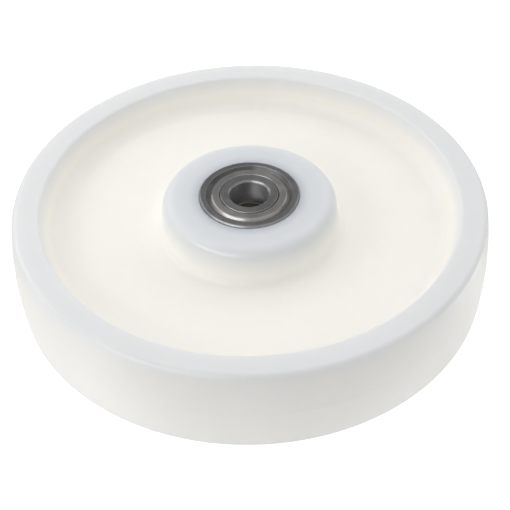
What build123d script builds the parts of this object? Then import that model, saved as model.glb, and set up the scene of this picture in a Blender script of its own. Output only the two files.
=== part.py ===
from build123d import *
import os

# One-piece moulded wheel, 250 x 50 mm, with a 20 x 52 x 15 mm shielded ball bearing
# pressed into each end of the hub.  Origin at the wheel centre, spin axis along +Y,
# +Z up, the front bearing facing -Y.  All lengths in millimetres.

# wheel body
WHEEL_R = 125.0
HALF_WIDTH = 25.0
CROWN = 1.9
TREAD_CORNER = 3.2
RIM_INNER_R = 109.4
RIM_EDGE = 1.6
RIM_FOOT_R = 103.6
RIM_FILLET = 9.0
WEB_HALF = 8.7
HUB_FOOT_R = 46.6
HUB_FILLET = 4.0
HUB_TOP_R = 45.0
HUB_CORNER = 6.5
HUB_FACE = 28.9
POCKET_LEAD = 0.7
CORE_R = 22.8

# bearing rings
BORE_R = 10.0
RING_R = 26.0
BEARING_W = 15.0
BEARING_END = 30.0
BORE_CORNER = 1.5
RING_CORNER = 1.1
INNER_LAND_R = 15.175
OUTER_LAND_R = 20.9
SHIELD_RECESS_R = 22.4
EDGE_BREAK = 0.25
LAND_CORNER = 0.5

# balls and raceways
BALL_D = 9.525
PITCH_R = 18.0
BALL_COUNT = 7
BALL_GAP = 0.05
GROOVE_R = 4.95

# pressed shields
SHIELD_SEAT_R = 23.0
SHIELD_R = 22.95
SHIELD_SEAT = 2.1
SHIELD_T = 0.4
SHIELD_STEP_R = 20.6
SHIELD_STEP_RUN = 1.25
SHIELD_FACE = 0.25
SHIELD_INNER_R = 15.5
SHIELD_LIP = 1.3
SHIELD_ROUND = 1.2
SHIELD_SKEW = 0.18

# riveted cage
CAGE_T = 0.7
CAGE_INNER_R = 16.3
CAGE_OUTER_R = 19.7
POCKET_R = BALL_D / 2 + 0.12
RIVET_R = 0.6
RIVET_HEAD_R = 1.15
RIVET_HEAD_H = 0.5

# spacer between the inner rings
SPACER_R = 13.5
SPACER_BORE_R = 10.25
SPACER_CHAMFER = 0.5

CENTRE_Y = BEARING_END - BEARING_W / 2
INBOARD_END = BEARING_END - BEARING_W
PITCH_ANGLE = 360.0 / BALL_COUNT
SIDES = {"front": (-1, 0.0), "rear": (1, PITCH_ANGLE / 2)}


def turned(section):
    """Solid of revolution about Y from a section drawn in X = radius, Y = axial."""
    return revolve(section, axis=Axis.Y)


def mirrored(points):
    """Half outline above the mid-plane followed by its mirror image below it."""
    return points + [(r, -y) for r, y in reversed(points)]


def on_pitch(shape, step):
    """Shape moved out to the ball pitch circle about Y and turned to a ball step."""
    return Rot(0, -step * PITCH_ANGLE, 0) * Pos(PITCH_R, 0, 0) * shape


def in_bearing(shape, side):
    """Shape drawn about the origin moved into one bearing and turned to its phase."""
    sign, phase = SIDES[side]
    return Pos(0, sign * CENTRE_Y, 0) * Rot(0, -phase, 0) * shape


def facing_out(shape, side, facing):
    """Shape drawn facing +Y turned to face outboard (1) or inboard (-1)."""
    return shape if SIDES[side][0] * facing > 0 else mirror(shape, about=Plane.XZ)


def tube(outer_r, inner_r, low, high):
    """Plain tube about Y between two axial stations."""
    points = [(inner_r, low), (outer_r, low), (outer_r, high), (inner_r, high)]
    return turned(make_face(Polyline(*points, close=True)))


def dome(radius):
    """Half ball standing on the XZ plane, its top along +Y."""
    return turned(Circle(radius) & Pos(radius, radius) * Rectangle(2 * radius, 2 * radius))


def wheel_body():
    edge_r = WHEEL_R - CROWN
    half = [
        (edge_r, HALF_WIDTH),
        (RIM_INNER_R, HALF_WIDTH),
        (RIM_FOOT_R, WEB_HALF),
        (HUB_FOOT_R, WEB_HALF),
        (HUB_TOP_R, HUB_FACE),
        (RING_R, HUB_FACE),
        (RING_R, INBOARD_END),
        (CORE_R, INBOARD_END),
    ]
    rounds = [RIM_EDGE, RIM_FILLET, HUB_FILLET, HUB_CORNER, POCKET_LEAD, 0, 0]
    side = FilletPolyline(*mirrored(half), radius=rounds + rounds[::-1])
    crown = ThreePointArc((edge_r, -HALF_WIDTH), (WHEEL_R, 0), (edge_r, HALF_WIDTH))
    section = make_face(side.edges() + crown.edges())
    corners = section.vertices().group_by(Axis.X)[-1]
    return turned(fillet(corners, TREAD_CORNER))


def outer_ring(side):
    half_w = BEARING_W / 2
    seat = half_w - SHIELD_SEAT
    lip = seat + SHIELD_T + 0.05
    half = [
        (RING_R, half_w),
        (SHIELD_RECESS_R, half_w),
        (SHIELD_RECESS_R, lip),
        (SHIELD_SEAT_R, lip),
        (SHIELD_SEAT_R, seat),
        (OUTER_LAND_R, seat),
    ]
    rounds = [RING_CORNER, EDGE_BREAK, 0, 0, 0, 0]
    outline = FilletPolyline(*mirrored(half), radius=rounds + rounds[::-1], close=True)
    groove_r = PITCH_R + BALL_D / 2 + BALL_GAP - GROOVE_R
    section = make_face(outline) - Pos(groove_r, 0) * Circle(GROOVE_R)
    return in_bearing(turned(section), side)


def inner_ring(side):
    half = [(INNER_LAND_R, BEARING_W / 2), (BORE_R, BEARING_W / 2)]
    rounds = [LAND_CORNER, BORE_CORNER, BORE_CORNER, LAND_CORNER]
    outline = FilletPolyline(*mirrored(half), radius=rounds, close=True)
    groove_r = PITCH_R - BALL_D / 2 - BALL_GAP + GROOVE_R
    section = make_face(outline) - Pos(groove_r, 0) * Circle(GROOVE_R)
    return in_bearing(turned(section), side)


def shield(side, facing):
    """Pressed disc snapped into the outer ring, facing outboard (1) or inboard (-1)."""
    half_w = BEARING_W / 2
    seat = half_w - SHIELD_SEAT
    face = half_w - SHIELD_FACE
    step_top = SHIELD_STEP_R - SHIELD_STEP_RUN
    outline = FilletPolyline(
        (SHIELD_R, seat + SHIELD_T),
        (SHIELD_STEP_R, seat + SHIELD_T),
        (step_top, face),
        (SHIELD_INNER_R, face),
        (SHIELD_INNER_R, half_w - SHIELD_LIP),
        (SHIELD_INNER_R + SHIELD_T, half_w - SHIELD_LIP),
        (SHIELD_INNER_R + SHIELD_T, face - SHIELD_T),
        (step_top - SHIELD_SKEW, face - SHIELD_T),
        (SHIELD_STEP_R - SHIELD_SKEW, seat),
        (SHIELD_R, seat),
        radius=[0, 0.25, SHIELD_ROUND, 0.4, 0.1, 0.1, 0.05, SHIELD_ROUND - SHIELD_T, 0.6, 0],
        close=True,
    )
    disc = facing_out(turned(make_face(outline)), side, facing)
    return in_bearing(disc, side)


def ball(side, step):
    return in_bearing(on_pitch(Sphere(BALL_D / 2), step), side)


def cage_half(side, facing):
    """Pressed cage ribbon: flats between the balls, a cupped pocket over each ball."""
    reach = POCKET_R + CAGE_T
    half = tube(CAGE_OUTER_R, CAGE_INNER_R, 0, CAGE_T)
    band = tube(CAGE_OUTER_R, CAGE_INNER_R, 0, 2 * reach)
    for step in range(BALL_COUNT):
        half += on_pitch(dome(reach), step) & band
    for step in range(BALL_COUNT):
        half -= on_pitch(dome(POCKET_R), step)
        half -= on_pitch(tube(RIVET_R, 0, 0, 2 * CAGE_T), step + 0.5)
    return in_bearing(facing_out(half, side, facing), side)


def rivet():
    """Rivet along Y with a rounded head seated on each outer face of the cage."""
    top = CAGE_T + RIVET_HEAD_H
    half = [(0, top), (RIVET_HEAD_R, top), (RIVET_HEAD_R, CAGE_T), (RIVET_R, CAGE_T)]
    rounds = [0, RIVET_HEAD_H * 0.8, 0, 0]
    outline = FilletPolyline(*mirrored(half), radius=rounds + rounds[::-1], close=True)
    return turned(make_face(outline))


def cage_rivets(side):
    group = Compound([on_pitch(rivet(), step + 0.5) for step in range(BALL_COUNT)])
    return in_bearing(group, side)


def spacer_tube():
    half = [(SPACER_R, INBOARD_END), (SPACER_BORE_R, INBOARD_END)]
    section = make_face(Polyline(*mirrored(half), close=True))
    return turned(chamfer(section.vertices(), SPACER_CHAMFER))


def parts():
    nodes = {"wheel_body": wheel_body(), "spacer_tube": spacer_tube()}
    for side in SIDES:
        nodes[f"{side}_outer_ring"] = outer_ring(side)
        nodes[f"{side}_inner_ring"] = inner_ring(side)
        nodes[f"{side}_shield_outboard"] = shield(side, 1)
        nodes[f"{side}_shield_inboard"] = shield(side, -1)
        nodes[f"{side}_cage_outboard"] = cage_half(side, 1)
        nodes[f"{side}_cage_inboard"] = cage_half(side, -1)
        nodes[f"{side}_cage_rivets"] = cage_rivets(side)
        for step in range(BALL_COUNT):
            nodes[f"{side}_ball_{step + 1}"] = ball(side, step)
    return nodes


os.makedirs("parts", exist_ok=True)
for name, shape in parts().items():
    export_step(shape, f"parts/{name}.step")
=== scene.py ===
"""Moulded nylon castor wheel with a shielded ball bearing in each end of its hub."""
import math

import bpy
import numpy as np
from mathutils import Matrix, Vector


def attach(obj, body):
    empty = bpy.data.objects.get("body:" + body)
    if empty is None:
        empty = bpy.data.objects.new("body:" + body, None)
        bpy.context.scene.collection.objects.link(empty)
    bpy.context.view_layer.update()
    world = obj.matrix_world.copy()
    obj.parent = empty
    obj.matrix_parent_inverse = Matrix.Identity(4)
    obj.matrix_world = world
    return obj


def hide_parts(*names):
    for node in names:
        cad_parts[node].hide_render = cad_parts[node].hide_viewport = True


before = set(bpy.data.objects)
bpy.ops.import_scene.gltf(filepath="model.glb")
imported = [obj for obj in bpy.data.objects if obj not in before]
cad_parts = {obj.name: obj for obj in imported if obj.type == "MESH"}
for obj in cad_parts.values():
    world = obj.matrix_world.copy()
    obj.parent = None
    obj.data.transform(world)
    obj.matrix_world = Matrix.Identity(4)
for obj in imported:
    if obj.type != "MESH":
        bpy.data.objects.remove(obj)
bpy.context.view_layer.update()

MM = 0.001
NOMINAL_R = 0.125  # wheel radius in metres, the unit of the materials, lights and camera

# wheel moulding, in millimetres; its radius is a little under the nominal 125 so that it
# stays inside the box of the CAD meshes, whose flats lie up to 0.07 mm inside the circle
WHEEL_R = 124.92
CROWN = 1.9
TREAD_CORNER = 3.2
HALF_WIDTH = 25.0
RIM_INNER_R = 109.4
RIM_EDGE = 1.6
RIM_FOOT_R = 103.6
RIM_FILLET = 9.0
WEB_HALF = 8.7
HUB_FOOT_R = 46.6
HUB_FILLET = 4.0
HUB_TOP_R = 45.0
HUB_CORNER = 6.5
HUB_FACE = 28.9
POCKET_R = 26.0
POCKET_LEAD = 0.7
POCKET_END = 15.0
POCKET_CORNER = 0.2
CORE_R = 22.8
CORE_EDGE = 0.5

# faint mould parting line round the middle of the tread
LINE_RISE = 0.06  # height above the tread
LINE_TOP = 0.16  # half width of its flat top
LINE_FOOT = 0.28  # half width at its foot
LINE_LEVEL = 0.3  # station whose tread radius the foot takes

# mesh density
TURN_STEPS = 360
ARC_STEP = 7.5  # degrees between the points of a rounded corner
LONGEST_RUN = 9.0
TREAD_START = 0.6
TREAD_END = HALF_WIDTH - TREAD_CORNER - 1.5  # just short of the rounded corner
TREAD_POINTS = 12


# ---------------------------------------------------------------- geometry


def rounded(points, radii):
    """Open outline through points, each inner corner rounded to its own radius."""
    out = [Vector(points[0])]
    for i in range(1, len(points) - 1):
        here = Vector(points[i])
        back = (Vector(points[i - 1]) - here).normalized()
        ahead = (Vector(points[i + 1]) - here).normalized()
        radius = radii[i - 1]
        half = back.angle(ahead) / 2
        reach = radius / math.tan(half)
        centre = here + (back + ahead).normalized() * (radius / math.sin(half))
        start = here + back * reach - centre
        turn = start.angle_signed(here + ahead * reach - centre)
        steps = max(3, int(math.ceil(math.degrees(abs(turn)) / ARC_STEP)))
        for k in range(steps + 1):
            out.append(centre + Matrix.Rotation(-turn * k / steps, 2) @ start)
    out.append(Vector(points[-1]))
    return out


def filled(points, longest):
    """The same outline with no run longer than longest."""
    out = [points[0]]
    for a, b in zip(points, points[1:]):
        count = max(1, int(math.ceil((b - a).length / longest)))
        out += [a.lerp(b, k / count) for k in range(1, count + 1)]
    return out


def lathe(name, outline, body):
    """Surface of revolution about Y of a closed (radius, y) outline in millimetres."""
    count = len(outline)
    angles = np.linspace(0, 2 * np.pi, TURN_STEPS, endpoint=False)
    profile = np.array([tuple(p) for p in outline]) * MM
    verts = np.zeros((TURN_STEPS, count, 3))
    verts[:, :, 0] = np.outer(np.cos(angles), profile[:, 0])
    verts[:, :, 1] = profile[:, 1]
    verts[:, :, 2] = np.outer(np.sin(angles), profile[:, 0])
    faces = []
    for i in range(TURN_STEPS):
        j = (i + 1) % TURN_STEPS
        for k in range(count):
            m = (k + 1) % count
            faces.append((i * count + k, i * count + m, j * count + m, j * count + k))
    mesh = bpy.data.meshes.new(name)
    mesh.from_pydata(verts.reshape(-1, 3).tolist(), [], faces)
    mesh.polygons.foreach_set("use_smooth", [True] * len(faces))
    mesh.update()
    obj = bpy.data.objects.new(name, mesh)
    bpy.context.scene.collection.objects.link(obj)
    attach(obj, body)
    return obj


def tread_radius(y):
    """Crowned tread radius at a station across the width."""
    return WHEEL_R - LINE_RISE - (CROWN - LINE_RISE) * (y / HALF_WIDTH) ** 2


def tread_middle():
    """Points of one half of the tread: the parting line, then the crown up to its end."""
    line = [(WHEEL_R, 0.0), (WHEEL_R, LINE_TOP), (tread_radius(LINE_LEVEL), LINE_FOOT)]
    stations = np.linspace(TREAD_START, TREAD_END, TREAD_POINTS)[:-1]
    crown = [(tread_radius(y), y) for y in stations]
    return [Vector(point) for point in line + crown]


def wheel_side():
    """Points from the end of the tread over the rim, web and hub to the middle of the core."""
    corners = [
        (tread_radius(TREAD_END), TREAD_END),
        (tread_radius(HALF_WIDTH), HALF_WIDTH),
        (RIM_INNER_R, HALF_WIDTH),
        (RIM_FOOT_R, WEB_HALF),
        (HUB_FOOT_R, WEB_HALF),
        (HUB_TOP_R, HUB_FACE),
        (POCKET_R, HUB_FACE),
        (POCKET_R, POCKET_END),
        (CORE_R, POCKET_END),
        (CORE_R, 0.0),
    ]
    rounds = [TREAD_CORNER, RIM_EDGE, RIM_FILLET, HUB_FILLET, HUB_CORNER]
    rounds += [POCKET_LEAD, POCKET_CORNER, CORE_EDGE]
    return rounded(corners, rounds)


def wheel_section():
    """Closed section of the moulding: one half, then its mirror image."""
    upper = filled(tread_middle() + wheel_side(), LONGEST_RUN)
    lower = [Vector((p.x, -p.y)) for p in reversed(upper[1:-1])]
    return upper + lower


# ---------------------------------------------------------------- materials

CREAM = (0.880, 0.866, 0.822)
# painted shade: the tread coloured greyer than the web, as a face turned from the light
TREAD_PAINTED_SHADE = (0.762, 0.755, 0.727)
# painted light: the cool tint of the rim end faces
RIM_PAINTED_COOL_LIGHT = (0.715, 0.730, 0.744)
# painted shade: dark ring on the hub face round the bearing
HUB_SHADOW = (0.54, 0.565, 0.60)
# painted light: the hub face cool, and lighter towards its rounded edge
HUB_PAINTED_COOL_LIGHT = (0.655, 0.680, 0.705)
HUB_EDGE_PAINTED_LIGHT = (0.695, 0.715, 0.735)
# painted light: the hub side and its foot coloured lighter and warmer than the web, lifting the
# shade where the hub meets the web
HUB_FOOT_PAINTED_LIGHT = (0.945, 0.935, 0.88)

# nylon colour by share of the wheel radius, near the mid-plane and on the end faces: the cream of
# the web, with painted light and shade
MIDDLE_CREAM_AND_PAINTED_LIGHT_SHADE = [
    (0.0, HUB_FOOT_PAINTED_LIGHT),
    (0.37, HUB_FOOT_PAINTED_LIGHT),
    (0.50, CREAM),
    (0.955, CREAM),
    (0.985, TREAD_PAINTED_SHADE),
    (1.0, TREAD_PAINTED_SHADE),
]
FACE_PAINTED_LIGHT_AND_SHADE = [
    (0.0, HUB_SHADOW),
    (0.208, HUB_SHADOW),
    (0.262, HUB_PAINTED_COOL_LIGHT),
    (0.345, HUB_EDGE_PAINTED_LIGHT),
    (0.86, RIM_PAINTED_COOL_LIGHT),
    (1.0, RIM_PAINTED_COOL_LIGHT),
]

# the face tint is painted light and shade
# in metres: distances from the mid-plane where the face tint takes over, on the rim and on
# the hub, and the radii over which the hub's distances give way to the rim's
RIM_BLEND = (0.0165, 0.0255)
HUB_BLEND = (0.0135, 0.0270)
HUB_TO_RIM = (0.055, 0.075)

# steel: tarnish factors, the band of painted shade past a radius and the rougher wall of the bore
TARNISH = (0.86, 0.87, 0.90)
BEYOND = 1.0  # a radius that no piece reaches
SHIELD_STEP = 0.0204
PAINTED_SHADE_RUN = 0.0003
PAINTED_SHADE_LEVEL = 0.55
BORE_WALL = (0.01005, 0.0103)
BORE_ROUGHNESS = 0.13

# places of inputs A and B and of the result on a mix node, by kind of value
MIX_PLACES = {"FLOAT": (2, 3, 0), "RGBA": (6, 7, 2)}


class Nodes:
    """Small helper that adds and links shader nodes in one material."""

    def __init__(self, name):
        self.material = bpy.data.materials.new(name)
        self.material.use_nodes = True
        self.tree = self.material.node_tree
        self.shader = self.tree.nodes["Principled BSDF"]

    def add(self, kind, **values):
        node = self.tree.nodes.new(kind)
        for key, value in values.items():
            if key in node.inputs:
                node.inputs[key].default_value = value
            else:
                setattr(node, key, value)
        return node

    def link(self, a, b):
        self.tree.links.new(a, b)

    def set(self, **values):
        for key, value in values.items():
            self.shader.inputs[key.replace("_", " ")].default_value = value

    def math(self, operation, a, b=None):
        node = self.add("ShaderNodeMath", operation=operation)
        for socket, value in zip(node.inputs, (a, b)):
            if value is None:
                continue
            if isinstance(value, (int, float)):
                socket.default_value = value
            else:
                self.link(value, socket)
        return node.outputs[0]

    def mix(self, kind, factor, a, b):
        """Socket between a and b, both of one kind, by a factor socket."""
        node = self.add("ShaderNodeMix", data_type=kind)
        first, second, result = MIX_PLACES[kind]
        self.link(factor, node.inputs["Factor"])
        self.link(a, node.inputs[first])
        self.link(b, node.inputs[second])
        return node.outputs[result]

    def coordinate(self):
        return self.add("ShaderNodeTexCoord").outputs["Object"]

    def position(self):
        """Sockets of the object-space coordinate, its y and its radius from the spin axis."""
        coord = self.coordinate()
        split = self.add("ShaderNodeSeparateXYZ")
        self.link(coord, split.inputs[0])
        x, y, z = split.outputs
        square = self.math("ADD", self.math("MULTIPLY", x, x), self.math("MULTIPLY", z, z))
        return coord, y, self.math("SQRT", square)

    def noise(self, vector, scale, detail=3.0, rough=0.5):
        node = self.add("ShaderNodeTexNoise", Scale=scale, Detail=detail, Roughness=rough)
        self.link(vector, node.inputs["Vector"])
        return node.outputs["Fac"]

    def span(self, value, low, high, from_low=0.3, from_high=0.7):
        """Value remapped to run from low to high, by default over the usual reach of noise."""
        node = self.add("ShaderNodeMapRange", clamp=True)
        self.link(value, node.inputs["Value"])
        node.inputs["From Min"].default_value = from_low
        node.inputs["From Max"].default_value = from_high
        node.inputs["To Min"].default_value = low
        node.inputs["To Max"].default_value = high
        return node.outputs["Result"]

    def ramp(self, value, stops):
        node = self.add("ShaderNodeValToRGB")
        ramp = node.color_ramp
        ramp.interpolation = "EASE"
        while len(ramp.elements) < len(stops):
            ramp.elements.new(0.5)
        for element, (at, colour) in zip(ramp.elements, stops):
            element.position = at
            element.color = (*colour, 1.0)
        self.link(value, node.inputs["Fac"])
        return node.outputs["Color"]

    def tint(self, colour, amount):
        """Colour multiplied by a grey amount socket."""
        node = self.add("ShaderNodeVectorMath", operation="SCALE")
        self.link(colour, node.inputs[0])
        self.link(amount, node.inputs["Scale"])
        return node.outputs[0]

    def bump(self, height, distance, strength=1.0, below=None):
        node = self.add("ShaderNodeBump", Strength=strength, Distance=distance)
        self.link(height, node.inputs["Height"])
        if below is not None:
            self.link(below, node.inputs["Normal"])
        return node.outputs["Normal"]


def nylon():
    """Satin polyamide, creamy in the recess; painted shade greys the tread and rings each bearing,
    painted light cools the end faces and lightens the hub foot.
    """
    n = Nodes("nylon")
    coord, y, radius = n.position()
    across = n.math("DIVIDE", radius, NOMINAL_R)
    depth = n.math("ABSOLUTE", y)
    near_hub = n.span(depth, 0.0, 1.0, *HUB_BLEND)
    near_rim = n.span(depth, 0.0, 1.0, *RIM_BLEND)
    outward = n.span(radius, 0.0, 1.0, *HUB_TO_RIM)
    on_face = n.mix("FLOAT", outward, near_hub, near_rim)
    # colour: the cream of the web with painted light and shade, from the middle and face tint tables
    colour = n.mix("RGBA", on_face, n.ramp(across, MIDDLE_CREAM_AND_PAINTED_LIGHT_SHADE), n.ramp(across, FACE_PAINTED_LIGHT_AND_SHADE))
    mottle = n.span(n.noise(coord, scale=26.0, detail=4.0, rough=0.6), low=0.990, high=1.008)
    flow = n.span(n.noise(coord, scale=140.0, detail=2.0), low=0.996, high=1.003)
    shade = n.tint(colour, n.math("MULTIPLY", mottle, flow))
    n.link(shade, n.shader.inputs["Base Color"])
    grain = n.span(n.noise(coord, scale=75.0, detail=5.0, rough=0.65), low=0.285, high=0.345)
    matt = n.span(on_face, low=0.14, high=0.0, from_low=0.0, from_high=1.0)
    n.link(n.math("ADD", grain, matt), n.shader.inputs["Roughness"])
    skin = n.bump(n.noise(coord, scale=2600.0, detail=2.0), distance=0.00003, strength=0.5)
    ripple = n.noise(coord, scale=95.0, detail=2.0)
    wave = n.bump(ripple, distance=0.00012, strength=0.35, below=skin)
    n.link(wave, n.shader.inputs["Normal"])
    n.set(IOR=1.53, Subsurface_Weight=0.35, Subsurface_Scale=0.012)
    n.shader.inputs["Subsurface Radius"].default_value = (1.0, 0.85, 0.62)
    return n.material


def steel(name, base, rough, rings, smudge, painted_shade_from=BEYOND):
    """Turned or pressed steel: concentric tool marks, uneven tarnish, and painted shade that darkens
    it past a radius.
    """
    n = Nodes(name)
    coord, y, radius = n.position()
    lay = n.add("ShaderNodeCombineXYZ")
    n.link(radius, lay.inputs[0])
    n.link(y, lay.inputs[1])
    marks = n.noise(lay.outputs[0], scale=rings, detail=5.0, rough=0.7)
    stain = n.noise(coord, scale=smudge, detail=4.0, rough=0.6)
    tarnished = tuple(value * factor for value, factor in zip(base, TARNISH))
    colour = n.ramp(stain, [(0.32, tarnished), (0.68, base)])
    # painted shade: base colour darker past the given radius, on the shield's flange in the recess
    # past its step
    painted_shade = n.span(radius, 1.0, PAINTED_SHADE_LEVEL, painted_shade_from, painted_shade_from + PAINTED_SHADE_RUN)
    shade = n.math("MULTIPLY", n.span(marks, low=0.86, high=1.1), painted_shade)
    n.link(n.tint(colour, shade), n.shader.inputs["Base Color"])
    cut = n.span(marks, low=rough - 0.05, high=rough + 0.06)
    worn = n.math("ADD", cut, n.span(stain, low=-0.04, high=0.05))
    in_bore = n.span(radius, BORE_ROUGHNESS, 0.0, *BORE_WALL)
    n.link(n.math("ADD", worn, in_bore), n.shader.inputs["Roughness"])
    n.link(n.bump(marks, distance=0.000004, strength=0.6), n.shader.inputs["Normal"])
    round_axis = n.add("ShaderNodeTangent", direction_type="RADIAL", axis="Y")
    n.link(round_axis.outputs[0], n.shader.inputs["Tangent"])
    n.set(Metallic=1.0, Anisotropic=0.8, Anisotropic_Rotation=0.25)
    return n.material


def polished(name, base):
    """Ball steel: mirror finish with a few hazy patches and hair scratches."""
    n = Nodes(name)
    coord = n.coordinate()
    haze = n.noise(coord, scale=300.0, detail=4.0, rough=0.6)
    hazed = tuple(value * 0.93 for value in base)
    n.link(n.ramp(haze, [(0.3, hazed), (0.7, base)]), n.shader.inputs["Base Color"])
    n.link(n.span(haze, low=0.05, high=0.14), n.shader.inputs["Roughness"])
    scratches = n.noise(coord, scale=4000.0, detail=2.0)
    n.link(n.bump(scratches, distance=0.000001, strength=0.3), n.shader.inputs["Normal"])
    n.set(Metallic=1.0)
    return n.material


def studio_floor():
    """Floor that renders almost white, mostly by its own glow."""
    n = Nodes("studio_floor")
    patches = n.noise(n.coordinate(), scale=3.0)
    greys = [(0.3, (0.29, 0.29, 0.29)), (0.7, (0.31, 0.31, 0.31))]
    n.link(n.ramp(patches, greys), n.shader.inputs["Base Color"])
    n.set(Roughness=0.9, Emission_Color=(1.0, 1.0, 1.0, 1.0), Emission_Strength=0.98)
    return n.material


def paint(obj, material):
    obj.data.materials.clear()
    obj.data.materials.append(material)


# ---------------------------------------------------------------- pieces

NYLON = nylon()
RING = steel("ring_steel", (0.55, 0.545, 0.55), rough=0.30, rings=2400.0, smudge=120.0)
# the shield's flange past its step is darkened with painted shade
SHIELD = steel(
    "shield_steel", (0.74, 0.72, 0.69), rough=0.32, rings=1500.0, smudge=160.0, painted_shade_from=SHIELD_STEP
)
CAGE = steel("cage_steel", (0.55, 0.53, 0.50), rough=0.38, rings=900.0, smudge=200.0)
ZINC = steel("zinc_steel", (0.34, 0.32, 0.28), rough=0.42, rings=700.0, smudge=180.0)
BALL = polished("ball_steel", (0.78, 0.78, 0.78))
FINISHES = {"ring": RING, "shield": SHIELD, "cage": CAGE, "ball": BALL, "spacer": ZINC}

wheel = lathe("wheel_moulding", wheel_section(), "wheel")
paint(wheel, NYLON)
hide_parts("wheel_body")

for name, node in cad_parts.items():
    for word, finish in FINISHES.items():
        if word in name:
            paint(node, finish)

# ---------------------------------------------------------------- studio

FLOOR_REACH = 4.0
FLOOR_Z = -0.1252  # just under the tread

# square panels, by side length in metres
LARGE = 0.62
SMALL = 0.31
CLOSE = 0.27
SHEEN = 0.7

KEY_PLACE = (0.9, -0.79, 0.9)
KEY_LENGTH = 1.5

# ring of small panels that grade the tread, aimed at the edge of the rim
BOUNCE_POWERS = (0.029, 0.028, 0.025, 0.018, 0.026, 0.029, 0.030)
BOUNCE_FROM = -10.0
BOUNCE_GAP = 100.0 / 3.0
BOUNCE_R = 0.20
BOUNCE_Y = 0.045
BOUNCE_SIZE = 0.07

# world light: its strength, and the heights of view between which it brightens
WORLD_STRENGTH = 0.44
WORLD_DIMMING = {"From Min": -0.25, "From Max": 0.02, "To Min": 0.50, "To Max": 1.0}


def studio_ground():
    """Floor plane that the lights shine through and that reflections don't see."""
    low, high = -FLOOR_REACH, FLOOR_REACH
    corners = [(low, low, 0.0), (high, low, 0.0), (high, high, 0.0), (low, high, 0.0)]
    mesh = bpy.data.meshes.new("floor")
    mesh.from_pydata(corners, [], [(0, 1, 2, 3)])
    ground = bpy.data.objects.new("floor", mesh)
    ground.location.z = FLOOR_Z
    bpy.context.scene.collection.objects.link(ground)
    paint(ground, studio_floor())
    ground.visible_shadow = False
    ground.visible_glossy = False
    return ground


def softbox(name, place, length, width, power, target=(0.0, 0.0, 0.0)):
    """Soft panel aimed at a point, its length at right angles to the spin axis."""
    panel = bpy.data.lights.new(name, "AREA")
    panel.shape = "RECTANGLE"
    panel.size = length
    panel.size_y = width
    panel.energy = power
    lamp = bpy.data.objects.new(name, panel)
    aim = (Vector(place) - Vector(target)).normalized()
    along = Vector((0.0, 1.0, 0.0)).cross(aim).normalized()
    turn = Matrix((along, aim.cross(along), aim)).transposed()
    lamp.matrix_world = Matrix.Translation(place) @ turn.to_4x4()
    bpy.context.scene.collection.objects.link(lamp)
    return lamp


def fill(name, place, size, power, target=(0.0, 0.0, 0.0)):
    """Panel that lights the wheel without showing as a reflection."""
    lamp = softbox(name, place, size, size, power, target)
    lamp.visible_camera = False
    lamp.visible_glossy = False


def sheen(name, place, length, width, power):
    """Panel that shows only as a reflection in the shiny surfaces."""
    lamp = softbox(name, place, length, width, power)
    lamp.visible_camera = False
    lamp.visible_diffuse = False


def bounce(step, power):
    """Small fill close to the rim, one of a ring round the spin axis."""
    angle = math.radians(BOUNCE_FROM + step * BOUNCE_GAP)
    outward = Vector((math.cos(angle), 0.0, math.sin(angle)))
    place = outward * BOUNCE_R + Vector((0.0, BOUNCE_Y, 0.0))
    rim_edge = outward * NOMINAL_R + Vector((0.0, HALF_WIDTH * MM, 0.0))
    fill(f"bounce_{step}", place, BOUNCE_SIZE, power, rim_edge)


def surroundings():
    """World light, white above the floor and dimmer below it, where reflections see it."""
    world = bpy.data.worlds.new("studio")
    world.use_nodes = True
    tree = world.node_tree
    backdrop = tree.nodes["Background"]
    backdrop.inputs["Strength"].default_value = WORLD_STRENGTH
    split = tree.nodes.new("ShaderNodeSeparateXYZ")
    height = tree.nodes.new("ShaderNodeMapRange")
    for socket, value in WORLD_DIMMING.items():
        height.inputs[socket].default_value = value
    direction = tree.nodes.new("ShaderNodeTexCoord").outputs["Generated"]
    tree.links.new(direction, split.inputs[0])
    tree.links.new(split.outputs["Z"], height.inputs["Value"])
    tree.links.new(height.outputs["Result"], backdrop.inputs["Color"])
    bpy.context.scene.world = world


floor = studio_ground()

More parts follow.
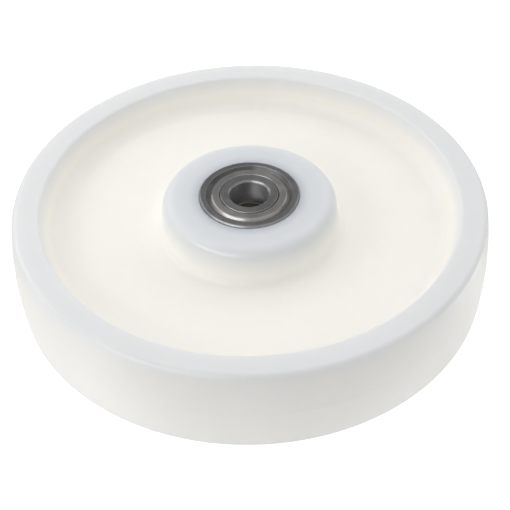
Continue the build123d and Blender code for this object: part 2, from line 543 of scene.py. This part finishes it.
softbox("key", KEY_PLACE, KEY_LENGTH, width=0.25, power=3.1)
sheen("key_sheen", KEY_PLACE, KEY_LENGTH, width=0.12, power=8.0)
sheen("left_sheen", (0.9, -0.7, -0.75), SHEEN, SHEEN, power=1.2)
sheen("right_sheen", (-0.9, -0.7, -0.75), SHEEN, SHEEN, power=0.6)
softbox("rear_right", (-1.28, 0.63, -0.46), LARGE, LARGE, power=2.7)
softbox("rear_low", (0.0, 0.63, -1.36), LARGE, LARGE, power=5.2)
softbox("rear_left", (1.23, 0.63, 0.57), LARGE, LARGE, power=1.3)
softbox("near_left", (0.35, -0.35, 0.0), CLOSE, CLOSE, power=0.17)
fill("front_high", (0.53, -1.30, 0.53), LARGE, power=0.3)
fill("front_left", (0.74, -0.26, 1.28), LARGE, power=2.2)
fill("front_right", (-0.87, -0.86, 0.87), LARGE, power=0.9)
fill("front_far", (-1.02, -1.0, -0.42), LARGE, power=0.9)
fill("near_far", (0.0, -0.35, -0.22), size=0.2, power=0.17)
fill("side_left", (0.7, -0.2, 0.3), SMALL, power=0.25)
fill("side_right", (-0.7, -0.2, 0.3), SMALL, power=0.08)
for step, power in enumerate(BOUNCE_POWERS):
    bounce(step, power)

surroundings()
bpy.context.scene.view_settings.view_transform = "Standard"
bpy.context.scene.view_settings.look = "None"

# ---------------------------------------------------------------- camera

TILT = math.radians(42.89)
ROLL = math.radians(-1.425)
DISTANCE = 5.877 * NOMINAL_R
SIDE = -0.0174 * NOMINAL_R
RISE = 0.0804 * NOMINAL_R
FOCAL_LENGTH = 97.44
SENSOR_WIDTH = 36.0


def viewpoint():
    """Camera above the front face, looking at the wheel with the picture's left along +X."""
    backward = Vector((0.0, -math.sin(TILT), math.cos(TILT)))
    right = Vector((-1.0, 0.0, 0.0))
    up = Vector((0.0, -math.cos(TILT), -math.sin(TILT)))
    rolled_right = right * math.cos(ROLL) + up * math.sin(ROLL)
    rolled_up = up * math.cos(ROLL) - right * math.sin(ROLL)
    optics = bpy.data.cameras.new("camera")
    optics.lens = FOCAL_LENGTH
    optics.sensor_width = SENSOR_WIDTH
    camera = bpy.data.objects.new("camera", optics)
    axes = Matrix((rolled_right, rolled_up, backward)).transposed()
    place = backward * DISTANCE - right * SIDE - up * RISE
    camera.matrix_world = Matrix.Translation(place) @ axes.to_4x4()
    bpy.context.scene.collection.objects.link(camera)
    bpy.context.scene.camera = camera


viewpoint()
